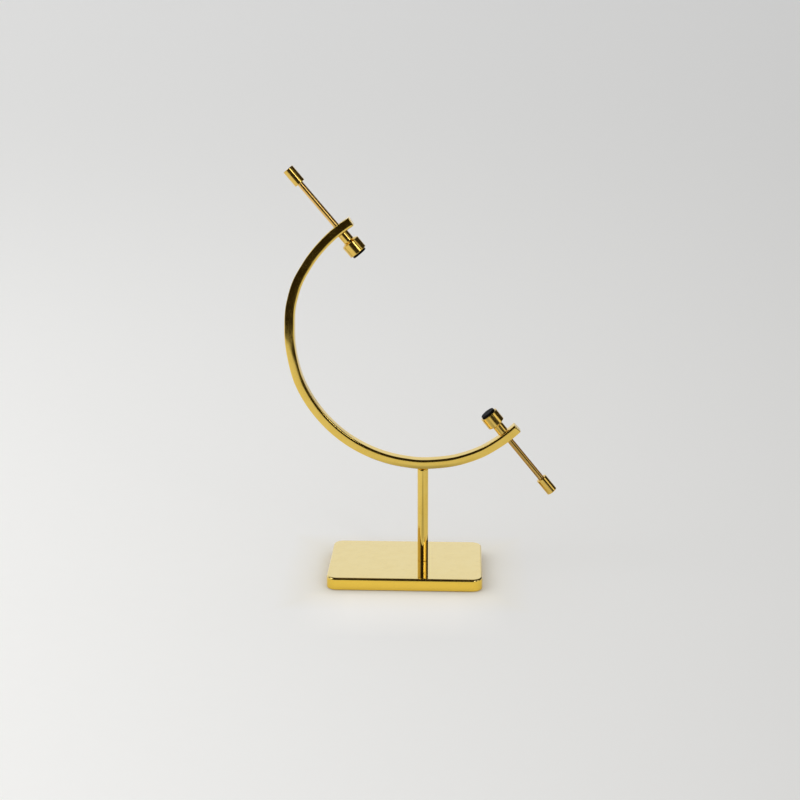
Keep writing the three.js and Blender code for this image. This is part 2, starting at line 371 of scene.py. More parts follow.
def plated_steel():
    """Zinc-plated steel with fine turning marks and a cloudy plating."""
    material, tree, shader = start_material("plated_steel")
    here = place_vector(tree)
    cloud = noise(tree, here, 900, 3.0, 0.6)
    feed(tree, shader, {
        "Base Color": blend_colours(tree, cloud, (0.60, 0.61, 0.62), (0.74, 0.75, 0.76)),
        "Roughness": remap(tree, cloud, 0.3, 0.7, 0.22, 0.38),
        "Normal": bump(tree, noise(tree, here, 6000, 2.0), 0.000004, 0.5), "Metallic": 1.0})
    return material


def moulded_rubber():
    """Black rubber: a fine dry skin, a few specks of dust and a faint bloom."""
    material, tree, shader = start_material("moulded_rubber")
    here = place_vector(tree)
    skin = noise(tree, here, 5200, 4.0, 0.65)
    bloom = noise(tree, here, 420, 3.0, 0.6)
    dust = remap(tree, noise(tree, here, 2600, 1.0), 0.70, 0.78, 0.0, 0.5)
    bloom = remap(tree, bloom, 0.35, 0.7, 0.0, 1.0)
    dark = blend_colours(tree, bloom, (0.0025, 0.002, 0.002), (0.006, 0.005, 0.0045))
    feed(tree, shader, {
        "Base Color": blend_colours(tree, dust, dark, (0.04, 0.035, 0.03)),
        "Roughness": remap(tree, skin, 0.3, 0.7, 0.48, 0.70),
        "Normal": bump(tree, skin, 0.00003, 0.6), "Specular IOR Level": 0.07})
    return material


def wool_felt():
    """Green felt: matted fibres that run every way, with lighter ends on top."""
    material, tree, shader = start_material("wool_felt")
    here = place_vector(tree)
    swirl = noise(tree, here, 900, 2.0)
    bent = add(tree, "ShaderNodeVectorMath", {0: here, 1: swirl}, operation="ADD")
    fibre = noise(tree, add(tree, "ShaderNodeMix", {"Factor": 0.004, 4: here, 5: bent.outputs[0]},
                            data_type="VECTOR").outputs[1], 3800, 5.0, 0.75)
    patch = noise(tree, here, 160, 2.0)
    deep = blend_colours(tree, patch, (0.018, 0.060, 0.036), (0.028, 0.085, 0.050))
    tips = remap(tree, fibre, 0.4, 0.7, 0.0, 1.0)
    feed(tree, shader, {
        "Base Color": blend_colours(tree, tips, deep, (0.06, 0.15, 0.095)),
        "Roughness": remap(tree, fibre, 0.3, 0.7, 0.98, 0.86),
        "Normal": bump(tree, fibre, 0.0002, 0.8), "Sheen Weight": 0.35})
    return material


steel = plated_steel()
rubber = moulded_rubber()
felt = wool_felt()

# %% [markdown]
# ## Turning on the lathe
# Post, knobs, cups, washers and pads are all turned about an axis. A Screw modifier could sweep a profile,
# but it leaves open poles and no say over the rings, so the rings are laid here one by one.
# A profile is a few corners, and each corner has its own rounding. Two holding points next to each rounding
# keep the flat beside it flat, which matters more on a mirror than on any other surface.

# %% Lathe helpers
HOLD = 0.04 * MM
ROUND_STEPS = 6
LATHE_SIDES = 96
SHARP = math.radians(35)


def rounded(corners, closed=False):
    """Corners of (x, z, rounding) as (x, z, edge) points. edge is 1 on a rounding and 0 elsewhere."""
    points = []
    count = len(corners)
    for i, (x, z, rounding) in enumerate(corners):
        at_end = not closed and i in (0, count - 1)
        if at_end or rounding == 0:
            points.append((x, z, 0.0))
            continue
        here = Vector((x, z))
        before = Vector(corners[i - 1][:2]) - here
        after = Vector(corners[(i + 1) % count][:2]) - here
        half = before.angle(after) / 2
        run = rounding / math.tan(half)
        middle = here + (before.normalized() + after.normalized()).normalized() * (rounding / math.sin(half))
        first = here + before.normalized() * run - middle
        last = here + after.normalized() * run - middle
        if before.length > run + 2 * HOLD:
            points.append((*(here + before.normalized() * (run + HOLD)), 0.0))
        sweep = first.angle(last)
        for step in range(ROUND_STEPS + 1):
            share = step / ROUND_STEPS
            reach_first = math.sin((1 - share) * sweep) / math.sin(sweep)
            reach_last = math.sin(share * sweep) / math.sin(sweep)
            points.append((*(middle + first * reach_first + last * reach_last), 1.0))
        if after.length > run + 2 * HOLD:
            points.append((*(here + after.normalized() * (run + HOLD)), 0.0))
    return points


def finish_mesh(name, mesh_maker, material):
    """A bmesh as a finished object: normals out, smooth, with sharp edges kept sharp."""
    bmesh.ops.recalc_face_normals(mesh_maker, faces=mesh_maker.faces)
    data = bpy.data.meshes.new(name)
    mesh_maker.to_mesh(data)
    mesh_maker.free()
    for face in data.polygons:
        face.use_smooth = True
    data.set_sharp_from_angle(angle=SHARP)
    # merged pieces bring more than one material number, and clearing sets every face back to the first
    data.materials.clear()
    data.materials.append(material)
    return new_object(name, data)


def lay_rings(maker, points, closed, sides=LATHE_SIDES):
    """Rings of vertices for (radius, z, edge) points, joined one to the next. A radius of 0 is a pole."""
    edge = maker.verts.layers.float.get("edge") or maker.verts.layers.float.new("edge")
    rings = []
    for radius, z, share in points:
        if radius < 1e-9:
            ring = [maker.verts.new((0, 0, z))]
        else:
            angles = [2 * math.pi * k / sides for k in range(sides)]
            ring = [maker.verts.new((radius * math.cos(a), radius * math.sin(a), z)) for a in angles]
        for vertex in ring:
            vertex[edge] = share
        rings.append(ring)
    pairs = list(zip(rings, rings[1:])) + ([(rings[-1], rings[0])] if closed else [])
    for lower, upper in pairs:
        for k in range(sides):
            around = (k + 1) % sides
            corners = ((lower, k), (lower, around), (upper, around), (upper, k))
            face = [ring[i % len(ring)] for ring, i in corners]
            maker.faces.new(list(dict.fromkeys(face)))
    return rings


def turned(name, corners, place, material, closed=False):
    """A turned piece: corners of (radius, z, rounding) swept round +Z, then laid in its place."""
    maker = bmesh.new()
    lay_rings(maker, rounded(corners, closed), closed)
    bmesh.ops.transform(maker, matrix=place, verts=maker.verts)
    return finish_mesh(name, maker, material)


def settle(piece, node, body):
    """Puts a finished piece in a CAD node's stead and on its body."""
    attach(piece, body)
    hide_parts(node)
    corners = [Vector(c) for c in piece.bound_box]
    size = [round((max(c[k] for c in corners) - min(c[k] for c in corners)) / MM, 1) for k in range(3)]
    print(piece.name, "faces", len(piece.data.polygons), "size", size)


# %% [markdown]
# ## The base plate
# The plate is a brass slab, sawn and milled, with its corners rounded and its upper edge broken and buffed.
# Buffing also rolls the last few millimetres of the top down by a few hundredths, and that roll draws the
# thin bright line just inside the edge. A bevelled cube would miss it. So the plate is made as a stack of
# rounded outlines, from the flat middle out over the roll and down the side.
# The felt's recess and the screw's hole are then cut from below with booleans, as a mill would.

# %% Make the base plate
PLATE_CORNER = 6 * MM
PLATE_FOOT = 0.35 * MM
ROLL_WIDTH = 4 * MM
ROLL_DROP = 0.035 * MM
CORNER_STEPS = 16


def outline(width, depth, corner, z):
    """The points of a rounded rectangle, anticlockwise from above."""
    points = []
    for quarter, (sx, sy) in enumerate(((1, 1), (-1, 1), (-1, -1), (1, -1))):
        for step in range(CORNER_STEPS + 1):
            angle = math.pi / 2 * (quarter + step / CORNER_STEPS)
            x = sx * (width / 2 - corner) + corner * math.cos(angle)
            y = sy * (depth / 2 - corner) + corner * math.sin(angle)
            points.append(Vector((x, y, z)))
    return points


def stacked(maker, width, depth, corner, profile):
    """A slab from (inset, z, edge) points, top to bottom, closed by a flat face at each end."""
    edge = maker.verts.layers.float.get("edge") or maker.verts.layers.float.new("edge")
    rings = []
    for inset, z, share in profile:
        points = outline(width - 2 * inset, depth - 2 * inset, max(corner - inset, 0.2 * MM), z)
        rings.append([maker.verts.new(p) for p in points])
        for vertex in rings[-1]:
            vertex[edge] = share
    for upper, lower in zip(rings, rings[1:]):
        for k in range(len(upper)):
            around = (k + 1) % len(upper)
            maker.faces.new((upper[k], lower[k], lower[around], upper[around]))
    maker.faces.new(rings[0])
    maker.faces.new(rings[-1][::-1])


def cut_away(piece, tools):
    """Cuts closed tools out of a piece with booleans, and removes the tools."""
    for tool in tools:
        modifier = piece.modifiers.new("cut", "BOOLEAN")
        modifier.object = tool
        modifier.solver = "EXACT"
    depsgraph = bpy.context.evaluated_depsgraph_get()
    depsgraph.update()
    cut = bpy.data.meshes.new_from_object(piece.evaluated_get(depsgraph))
    piece.modifiers.clear()
    piece.data = cut
    for tool in tools:
        bpy.data.objects.remove(tool)


def plate_profile(top, bottom):
    """The plate's section from the flat of its top, over the roll and the edge, to its underside."""
    points = [(ROLL_WIDTH + HOLD, top, 0.0)]
    for step in range(9):
        share = step / 8
        points.append((ROLL_WIDTH + (PLATE_EDGE - ROLL_WIDTH) * share, top - ROLL_DROP * share ** 2, 0.0))
    shoulder = top - ROLL_DROP
    corners = [(PLATE_EDGE, shoulder, 0), (0, shoulder, PLATE_EDGE - 0.05 * MM), (0, bottom, PLATE_FOOT),
               (2 * MM, bottom, 0)]
    return points[:-1] + rounded(corners)


maker = bmesh.new()
PLATE_WIDTH, PLATE_DEPTH = plate_high.x - plate_low.x, plate_high.y - plate_low.y
stacked(maker, PLATE_WIDTH, PLATE_DEPTH, PLATE_CORNER, plate_profile(plate_high.z, plate_low.z))
plate = finish_mesh("plate", maker, plate_brass)

FELT_GAP = 0.1 * MM
HEAD_HOLE, SHANK_HOLE = 4 * MM, 2.1 * MM
recess = bmesh.new()
felt_width, felt_depth = felt_high.x - felt_low.x, felt_high.y - felt_low.y
FELT_CORNER = 3 * MM
RECESS_TOP = felt_high.z + FELT_GAP
stacked(recess, felt_width + 2 * FELT_GAP, felt_depth + 2 * FELT_GAP, FELT_CORNER + FELT_GAP,
        [(0, RECESS_TOP, 0.0), (0, -1 * MM, 0.0)])
HEAD_HEIGHT = 2 * MM
hole_corners = [
    (0, RECESS_TOP - MM, 0), (HEAD_HOLE, RECESS_TOP - MM, 0), (HEAD_HOLE, RECESS_TOP + FELT_GAP, 0),
    (SHANK_HOLE, RECESS_TOP + HEAD_HEIGHT, 0), (SHANK_HOLE, plate_high.z + MM, 0), (0, plate_high.z + MM, 0)]
hole = turned("screw_hole", hole_corners, POST_PLACE, plate_brass)
cut_away(plate, [finish_mesh("felt_recess", recess, plate_brass), hole])
plate.data.set_sharp_from_angle(angle=SHARP)
settle(plate, "base_plate", "stand")

# %% [markdown]
# ## The felt
# A sheet of wool felt is glued into the recess and stands a third of a millimetre proud, so that the brass
# never touches the table. Its cut edge is a little furry, and the surface is not flat.
# It is a fine grid moved by a smooth random field, with a second layer joined on as its thickness.

# %% Make the felt
from mathutils import noise as field

maker = bmesh.new()
across, along = 68, 42


def felt_point(i, j, z):
    """A grid point of the felt, pulled in at the corners and moved a little off the flat."""
    x, y = (i / across - 0.5) * felt_width, (j / along - 0.5) * felt_depth
    limit = Vector((felt_width / 2 - FELT_CORNER, felt_depth / 2 - FELT_CORNER))
    past = Vector((max(abs(x) - limit.x, 0), max(abs(y) - limit.y, 0)))
    if past.length > FELT_CORNER:
        past *= FELT_CORNER / past.length
        x = math.copysign(limit.x + past.x, x)
        y = math.copysign(limit.y + past.y, y)
    lift = 0.02 * MM * field.noise(Vector((x, y, z)) * 600)
    return Vector((x, y, z + lift * (1 if z > 0.1 * MM else 0)))


layers = []
for z in (0.0, felt_high.z - 0.03 * MM):
    rows = range(across + 1)
    layers.append([[maker.verts.new(felt_point(i, j, z)) for j in range(along + 1)] for i in rows])
for layer, flip in zip(layers, (True, False)):
    for i in range(across):
        for j in range(along):
            face = [layer[i][j], layer[i + 1][j], layer[i + 1][j + 1], layer[i][j + 1]]
            maker.faces.new(face[::-1] if flip else face)
rim = [(i, 0) for i in range(across)] + [(across, j) for j in range(along)]
rim += [(i, along) for i in range(across, 0, -1)] + [(0, j) for j in range(along, 0, -1)]
for (i, j), (k, l) in zip(rim, rim[1:] + rim[:1]):
    maker.faces.new((layers[0][i][j], layers[0][k][l], layers[1][k][l], layers[1][i][j]))
bmesh.ops.remove_doubles(maker, verts=maker.verts, dist=0.05 * MM)
felt_sheet = finish_mesh("felt_sheet", maker, felt)
settle(felt_sheet, "base_felt", "stand")

# %% [markdown]
# ## The post
# A length of round bar stands on the plate. Its ends are faced on the lathe. The lower edge is just broken,
# which draws the fine bright line where it meets its own reflection, and the upper one is rounded off to a
# dark shoulder under the bar. Both ends are drilled for a screw. A plain cylinder would show none of this,
# so the post is one turned profile.

# %% Make the post
screw_high = reach("base_screw", POST_PLACE)[1]
stud_low, stud_high, stud_radius = reach("post_stud", POST_PLACE)
POST_RADIUS = (post_high.x - post_low.x) / 2
DRILL_GAP = 0.05 * MM
DRILL_END = 0.4 * MM
SCREW_SHANK = 2 * MM
POST_SHOULDER = 1.2 * MM
post_corners = [
    (0, screw_high + DRILL_END, 0),
    (SCREW_SHANK + DRILL_GAP, screw_high + DRILL_END, 0),
    (SCREW_SHANK + DRILL_GAP, post_low.z, 0),
    (POST_RADIUS, post_low.z, 0.25 * MM),
    (POST_RADIUS, post_high.z, POST_SHOULDER),
    (stud_radius + DRILL_GAP, post_high.z, 0),
    (stud_radius + DRILL_GAP, stud_low - DRILL_END, 0),
    (0, stud_low - DRILL_END, 0),
]
post = turned("post_bar", post_corners, POST_PLACE, post_brass)
settle(post, "post", "stand")

# %% [markdown]
# ## The C-shaped bar
# The bar starts as straight rectangular stock. It is rolled to a circle, its edges are eased on the wheel,
# and the whole of it is buffed. Its section is no true rectangle any more: each face is slightly crowned and
# rolls off towards the inner edge, and a dark line runs there, where the face turns away from the table.
# A curve with a round bevel would lose that line. So Geometry Nodes draw the circle's arc and sweep a section
# of its own along it, since both follow a rule. The section is a superellipse, which gives the soft edges,
# with a crown and a roll taken off its faces. A Bevel modifier breaks the two sawn ends. Then the bar is bent
# a little off its circle, as one rolled by hand is, and booleans drill the holes.

# %% Build the sweeping tree
ARC_THICKNESS = 5.5 * MM
ARC_DEPTH = arc_high.y - arc_low.y
SQUARENESS = 14.0
FACE_CROWN = 0.22 * MM
OUTER_CROWN = 0.35
INNER_ROLL = 0.72 * MM
ROLL_START = 0.60
# the section's own X points outwards, so the inner edge lies on its negative side
INWARD = -1.0
END_BREAK = 0.35 * MM


def new_tree(name, floats, integers):
    """An empty geometry tree with named inputs and a material, its input sockets and its output socket."""
    tree = bpy.data.node_groups.new(name, "GeometryNodeTree")
    for kind, labels in (("Float", floats), ("Int", integers), ("Material", ["Material"])):
        for label in labels:
            tree.interface.new_socket(label, in_out="INPUT", socket_type="NodeSocket" + kind)
    tree.interface.new_socket("Geometry", in_out="OUTPUT", socket_type="NodeSocketGeometry")
    return tree, tree.nodes.new("NodeGroupInput").outputs, tree.nodes.new("NodeGroupOutput").inputs[0]


def deliver(tree, geometry, material, result):
    """Makes a tree's geometry real, gives it its material and sends it out."""
    real = add(tree, "GeometryNodeRealizeInstances", {0: geometry})
    painted = add(tree, "GeometryNodeSetMaterial", {"Geometry": real.outputs[0], "Material": material})
    tree.links.new(painted.outputs[0], result)
    return tree


def run_tree(name, tree, values, material, others=()):
    """Runs a tree on an empty object and returns the plain mesh it makes. others adds ordinary modifiers."""
    holder = new_object(name, bpy.data.meshes.new(name))
    modifier = holder.modifiers.new(name, "NODES")
    modifier.node_group = tree
    sockets = {s.name: s.identifier for s in tree.interface.items_tree if s.in_out == "INPUT"}
    for label, value in {**values, "Material": material}.items():
        modifier[sockets[label]] = value
    for kind, settings in others:
        extra = holder.modifiers.new(kind, kind)
        for key, value in settings.items():
            setattr(extra, key, value)
    depsgraph = bpy.context.evaluated_depsgraph_get()
    depsgraph.update()
    made = bpy.data.meshes.new_from_object(holder.evaluated_get(depsgraph))
    bpy.data.objects.remove(holder)
    return made


def sweep_tree():
    """A superellipse section swept along the arc of a circle."""
    tree, given, result = new_tree(
        "swept_bar", ["Radius", "Start Angle", "Sweep Angle", "Half Thickness", "Half Depth",
                      "Squareness", "Crown", "Inner Roll"], ["Steps", "Section Points"])
    shape = {label: given[label] for label in ("Radius", "Start Angle", "Sweep Angle")}
    arc = add(tree, "GeometryNodeCurveArc", {"Resolution": given["Steps"], **shape}, mode="RADIUS")
    ring = add(tree, "GeometryNodeCurvePrimitiveCircle",
               {"Resolution": given["Section Points"], "Radius": 1.0}, mode="RADIUS")
    here = split(tree, add(tree, "GeometryNodeInputPosition").outputs[0])
    power = calc(tree, "DIVIDE", 2.0, given["Squareness"])
    signed = []
    for axis in ("X", "Y"):
        size = calc(tree, "POWER", calc(tree, "ABSOLUTE", here[axis]), power)
        signed.append(product(tree, size, calc(tree, "SIGN", here[axis])))
    # the crown is a parabola: the depth shrinks with the square of the way across, less on the outer half
    inward = product(tree, signed[0], INWARD)
    uneven = remap(tree, inward, -0.001, 0.001, OUTER_CROWN, 1.0)
    drop = product(tree, inward, inward, given["Crown"], uneven)
    # the wheel bites the inner edge harder, past ROLL_START of the way from the middle to it
    past = calc(tree, "MAXIMUM", calc(tree, "SUBTRACT", inward, ROLL_START), 0.0)
    roll = product(tree, past, past, given["Inner Roll"])
    depth = calc(tree, "SUBTRACT", calc(tree, "SUBTRACT", given["Half Depth"], drop), roll)
    spots = combine(tree, product(tree, signed[0], given["Half Thickness"]), product(tree, signed[1], depth))
    section = add(tree, "GeometryNodeSetPosition", {"Geometry": ring.outputs[0], "Position": spots})
    curves = {"Curve": arc.outputs[0], "Profile Curve": section.outputs[0]}
    bar = add(tree, "GeometryNodeCurveToMesh", {**curves, "Fill Caps": True})
    place = {"Geometry": bar.outputs[0], "Rotation": (math.pi / 2, 0, 0), "Translation": ARC_CENTRE}
    placed = add(tree, "GeometryNodeTransform", place)
    return deliver(tree, placed.outputs[0], given["Material"], result)


# %% Sweep the bar
def angle_of(point):
    """The angle of a point round the arc's centre, from 0 to a full turn."""
    return math.atan2(point.z - ARC_CENTRE.z, point.x - ARC_CENTRE.x) % (2 * math.pi)


angles = [angle_of(v.co) for v in frame["nodes"]["arc_bar"].data.vertices]
START_ANGLE, END_ANGLE = min(angles), max(angles)
MIDDLE_RADIUS = ARC_RADIUS - ARC_THICKNESS / 2
arc_sizes = {
    "Radius": MIDDLE_RADIUS, "Start Angle": START_ANGLE, "Sweep Angle": END_ANGLE - START_ANGLE,
    "Half Thickness": ARC_THICKNESS / 2, "Half Depth": ARC_DEPTH / 2, "Squareness": SQUARENESS,
    "Crown": FACE_CROWN, "Inner Roll": INNER_ROLL, "Steps": 320, "Section Points": 72}
end_break = {"width": END_BREAK, "segments": 4, "limit_method": "ANGLE", "angle_limit": math.radians(50)}
arc_mesh = run_tree("arc", sweep_tree(), arc_sizes, arc_brass, [("BEVEL", end_break)])
maker = bmesh.new()
maker.from_mesh(arc_mesh)
bar = finish_mesh("arc", maker, arc_brass)
print("bar from", round(math.degrees(START_ANGLE), 1), "to", round(math.degrees(END_ANGLE), 1), "degrees")

# %% Bend the bar a little
# how far a hand-rolled bar strays from the circle, as (angle in degrees, shift, extra thickness) in mm
STRAY = ((121, -0.25, 0.0), (136, -0.3, 0.0), (148, -0.15, 0.1), (157, 0.25, 0.3), (166, 0.0, 0.25),
         (178, -0.75, 0.3), (190, -0.85, 0.0), (202, -0.5, 0.1), (220, -0.6, 0.0), (238, -0.45, 0.0),
         (262, -0.25, 0.0), (268, 0.0, 0.0), (275, 0.0, 0.0), (286, 0.35, 0.0), (296, 0.45, 0.0),
         (304, 0.2, 0.0), (316, 0.15, 0.0))


def stray_at(angle):
    """The shift and the extra thickness at an angle, blended between the rows of the table."""
    for (a, *low), (b, *high) in zip(STRAY, STRAY[1:]):
        if angle <= b:
            share = min(max((angle - a) / (b - a), 0.0), 1.0)
            share = share * share * (3 - 2 * share)
            return [(p + (q - p) * share) * MM for p, q in zip(low, high)]
    return [v * MM for v in STRAY[-1][1:]]


for vertex in bar.data.vertices:
    arm = vertex.co - ARC_CENTRE
    arm.y = 0
    shift, extra = stray_at(math.degrees(angle_of(vertex.co)))
    across = (arm.length - MIDDLE_RADIUS) / ARC_THICKNESS
    vertex.co += arm.normalized() * (shift + extra * across)
print("strays by up to", max(abs(row[1]) for row in STRAY), "mm")

# %% Drill the bar and mark its worn edges
SCREW_HOLE = 1.8 * MM
DRILL_FROM, DRILL_TO = ARC_RADIUS - 8 * MM, ARC_RADIUS + 4 * MM
drills = []
for side in SIDES:
    drills.append(turned("drill", [(0, DRILL_FROM, 0), (SCREW_HOLE, DRILL_FROM, 0),
                                   (SCREW_HOLE, DRILL_TO, 0), (0, DRILL_TO, 0)],
                         clamp_place(side), arc_brass))
drills.append(turned("drill", [(0, arc_low.z - MM, 0), (SCREW_HOLE, arc_low.z - MM, 0),
                               (SCREW_HOLE, stud_high + DRILL_END, 0), (0, stud_high + DRILL_END, 0)],
                     POST_PLACE, arc_brass))
cut_away(bar, drills)
EDGE_BAND = 0.9 * MM
wear = bar.data.attributes.new("edge", "FLOAT", "POINT")
for k, vertex in enumerate(bar.data.vertices):
    shift = stray_at(math.degrees(angle_of(vertex.co)))[0]
    off = abs((vertex.co - ARC_CENTRE).xz.length - MIDDLE_RADIUS - shift)
    farther = max(ARC_THICKNESS / 2 - off, ARC_DEPTH / 2 - abs(vertex.co.y))
    wear.data[k].value = 1.0 if farther < EDGE_BAND else 0.0
bar.data.set_sharp_from_angle(angle=SHARP)
settle(bar, "arc_bar", "stand")

# %% [markdown]
# ## Screw threads
# A thread is one groove that climbs as it goes round, so it is a helix and not a stack of rings.
# The tree starts from a flat grid. One way across the grid becomes the way round, and the rows become the
# thread's crest, flank and root, four rows to each turn. Every row climbs one pitch in one turn, so it meets
# the row four places on, and merging closes the seam. Held between its two ends, with a 45 degree lead at
# each, the tube can be closed or joined to any turned end.

# %% Build the thread tree
ROWS_PER_TURN = 4


def thread_tree():
    """An open threaded tube along +Z, from Start to End, with 60 degree flanks."""
    tree, given, result = new_tree(
        "thread", ["Crest Radius", "Root Radius", "Pitch", "Start", "End"], ["Turns", "Sides"])
    rows = product(tree, calc(tree, "ADD", given["Turns"], 2.0), ROWS_PER_TURN)
    counts = {"Vertices X": calc(tree, "ADD", given["Sides"], 1.0),
              "Vertices Y": calc(tree, "ADD", rows, 1.0)}
    grid = add(tree, "GeometryNodeMeshGrid", {"Size X": 1.0, "Size Y": 1.0, **counts})
    here = split(tree, add(tree, "GeometryNodeInputPosition").outputs[0])
    around = calc(tree, "ADD", here["X"], 0.5)
    row = calc(tree, "ROUND", product(tree, calc(tree, "ADD", here["Y"], 0.5), rows))
    turn = calc(tree, "FLOOR", calc(tree, "DIVIDE", calc(tree, "ADD", row, 0.01), ROWS_PER_TURN))
    place = calc(tree, "SUBTRACT", row, product(tree, turn, ROWS_PER_TURN))
    in_root = calc(tree, "GREATER_THAN", place, 1.5)
    # crest, flank, root, flank: the four rows sit at 0, 0.70, 0.80 and 0.90 of a turn
    past_crest = product(tree, calc(tree, "GREATER_THAN", place, 0.5), 0.60)
    phase = calc(tree, "ADD", product(tree, place, 0.10), past_crest)
    turns = calc(tree, "ADD", calc(tree, "ADD", turn, phase), calc(tree, "SUBTRACT", around, 1.0))
    climb = calc(tree, "ADD", given["Start"], product(tree, turns, given["Pitch"]))
    z = calc(tree, "MAXIMUM", calc(tree, "MINIMUM", climb, given["End"]), given["Start"])
    depth = calc(tree, "SUBTRACT", given["Crest Radius"], given["Root Radius"])
    cut = calc(tree, "SUBTRACT", given["Crest Radius"], product(tree, depth, in_root))
    lead = calc(tree, "MINIMUM", calc(tree, "SUBTRACT", z, given["Start"]),
                calc(tree, "SUBTRACT", given["End"], z))
    radius = calc(tree, "MINIMUM", cut, calc(tree, "ADD", given["Root Radius"], lead))
    angle = product(tree, around, 2 * math.pi)
    spots = combine(tree, product(tree, radius, calc(tree, "COSINE", angle)),
                    product(tree, radius, calc(tree, "SINE", angle)), z)
    rolled = add(tree, "GeometryNodeSetPosition", {"Geometry": grid.outputs["Mesh"], "Position": spots})
    closed = add(tree, "GeometryNodeMergeByDistance", {"Geometry": rolled.outputs[0], "Distance": 0.002 * MM})
    return deliver(tree, closed.outputs[0], given["Material"], result)


threads = thread_tree()
THREAD_SIDES = 40


def threaded(name, crest, root, pitch, start, end, tail, nose, place, material):
    """A threaded piece. tail and nose are turned corners that end and start on the root's radius."""
    turns = math.ceil((end - start) / pitch)
    sizes = {"Crest Radius": crest, "Root Radius": root, "Pitch": pitch, "Start": start, "End": end,
             "Turns": turns, "Sides": THREAD_SIDES}
    mesh = run_tree(name, threads, sizes, material)
    maker = bmesh.new()
    maker.from_mesh(mesh)
    for corners in (tail, nose):
        lay_rings(maker, rounded(corners), False, THREAD_SIDES)
    bmesh.ops.remove_doubles(maker, verts=maker.verts, dist=0.002 * MM)
    bmesh.ops.dissolve_degenerate(maker, edges=maker.edges, dist=0.0005 * MM)
    open_edges = sum(1 for e in maker.edges if not e.is_manifold)
    bmesh.ops.transform(maker, matrix=place, verts=maker.verts)
    made = finish_mesh(name, maker, material)
    print(name, "turns", turns, "open edges", open_edges)
    return made


# %% [markdown]
# ## The clamp screws
# Each clamp is a length of fine-threaded rod. Its inner end is turned down to a plain spigot with a groove
# for a snap ring, and that spigot carries the swivelling cup. Fifty turns of the knob move it thirty
# millimetres. The thread comes from the tree above, and its two ends are turned and merged on.

# %% Make the clamp screws
FINE_PITCH = 0.6 * MM
SPIGOT_RADIUS = 1.35 * MM
SHOULDER = ARC_RADIUS - ARC_THICKNESS
GROOVE_DEPTH = 0.45 * MM
GROOVE_WIDTH = 0.6 * MM
GROOVE_FROM_TIP = 0.6 * MM
for side in SIDES:
    place = clamp_place(side)
    tip, end, crest = reach(f"{side}_threaded_rod", place)
    groove = tip + GROOVE_FROM_TIP
    groove_radius = SPIGOT_RADIUS - GROOVE_DEPTH
    tail = [(0, tip, 0), (SPIGOT_RADIUS, tip, 0.15 * MM), (SPIGOT_RADIUS, groove, 0),
            (groove_radius, groove, 0), (groove_radius, groove + GROOVE_WIDTH, 0),
            (SPIGOT_RADIUS, groove + GROOVE_WIDTH, 0), (SPIGOT_RADIUS, SHOULDER, 0)]
    rod = threaded(f"{side}_screw_rod", crest, SPIGOT_RADIUS, FINE_PITCH, SHOULDER, end, tail,
                   [(SPIGOT_RADIUS, end, 0), (0, end, 0)], place, thread_brass)
    settle(rod, f"{side}_threaded_rod", f"{side}_screw")

# %% [markdown]
# ## Knobs, cups and pads
# The knob is a plain brass barrel, drilled to take the rod and held by the thread. The cup swivels on the
# spigot: a neck, a short cone and a wide rim that holds the rubber. All are lathe work with crisp but broken
# edges, so each is one profile with a rounding at each corner.

# %% Make the knobs, cups and rubber pads
EDGE_BREAK = 0.28 * MM
CUP_LENGTH, CONE_LENGTH, NECK_RADIUS = 7.1 * MM, 1.1 * MM, 3.15 * MM
PAD_GAP = 0.2 * MM
POCKET_RADIUS, POCKET_DEPTH = 2.8 * MM, 3 * MM
for side in SIDES:
    place = clamp_place(side)
    knob_start, knob_end, knob_radius = reach(f"{side}_knob", place)
    rod_end = reach(f"{side}_threaded_rod", place)[1]
    knob = turned(f"{side}_barrel_knob", [
        (0, rod_end + DRILL_END, 0), (SCREW_HOLE, rod_end + DRILL_END, 0),
        (SCREW_HOLE, knob_start, 0.12 * MM), (knob_radius, knob_start, EDGE_BREAK),
        (knob_radius, knob_end, EDGE_BREAK), (0, knob_end, 0)], place, clamp_brass)
    settle(knob, f"{side}_knob", f"{side}_screw")

    rim, neck_end, cup_radius = reach(f"{side}_pad_holder", place)
    pad_face, pad_back, pad_radius = reach(f"{side}_rubber_pad", place)
    cup_bore, cup_seat, cup_back = pad_radius + PAD_GAP, pad_back + PAD_GAP, rim + CUP_LENGTH
    neck_start, pocket_floor = cup_back + CONE_LENGTH, cup_seat + POCKET_DEPTH
    bore = SPIGOT_RADIUS + DRILL_GAP
    cup = turned(f"{side}_cup", [
        (cup_bore, rim, 0.1 * MM), (cup_radius, rim, 0.25 * MM), (cup_radius, cup_back, 0.3 * MM),
        (NECK_RADIUS, neck_start, 0.3 * MM), (NECK_RADIUS, neck_end, 0.25 * MM), (bore, neck_end, 0),
        (bore, pocket_floor, 0), (POCKET_RADIUS, pocket_floor, 0), (POCKET_RADIUS, cup_seat, 0),
        (cup_bore, cup_seat, 0)], place, clamp_brass, closed=True)
    settle(cup, f"{side}_pad_holder", f"{side}_pad")

    pad = turned(f"{side}_pad", [
        (0, pad_face, 0), (pad_radius, pad_face, 0.18 * MM), (pad_radius, pad_back, 0.2 * MM),
        (0, pad_back, 0)], place, rubber)
    settle(pad, f"{side}_rubber_pad", f"{side}_pad")

# %% [markdown]
# ## The hidden hardware
# A countersunk screw under the plate, a stud inside the post, and a washer and snap ring inside each cup hold
# the stand together. They are out of sight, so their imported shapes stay, and they get the plated steel.

# %% Dress the hidden hardware
hidden = ["base_screw", "post_stud"]
hidden += [f"{side}_{piece}" for side in SIDES for piece in ("thrust_washer", "retaining_clip")]
for name in hidden:
    node = frame["nodes"][name]
    for slot in node.material_slots:
        slot.material = steel
print("plated", hidden)
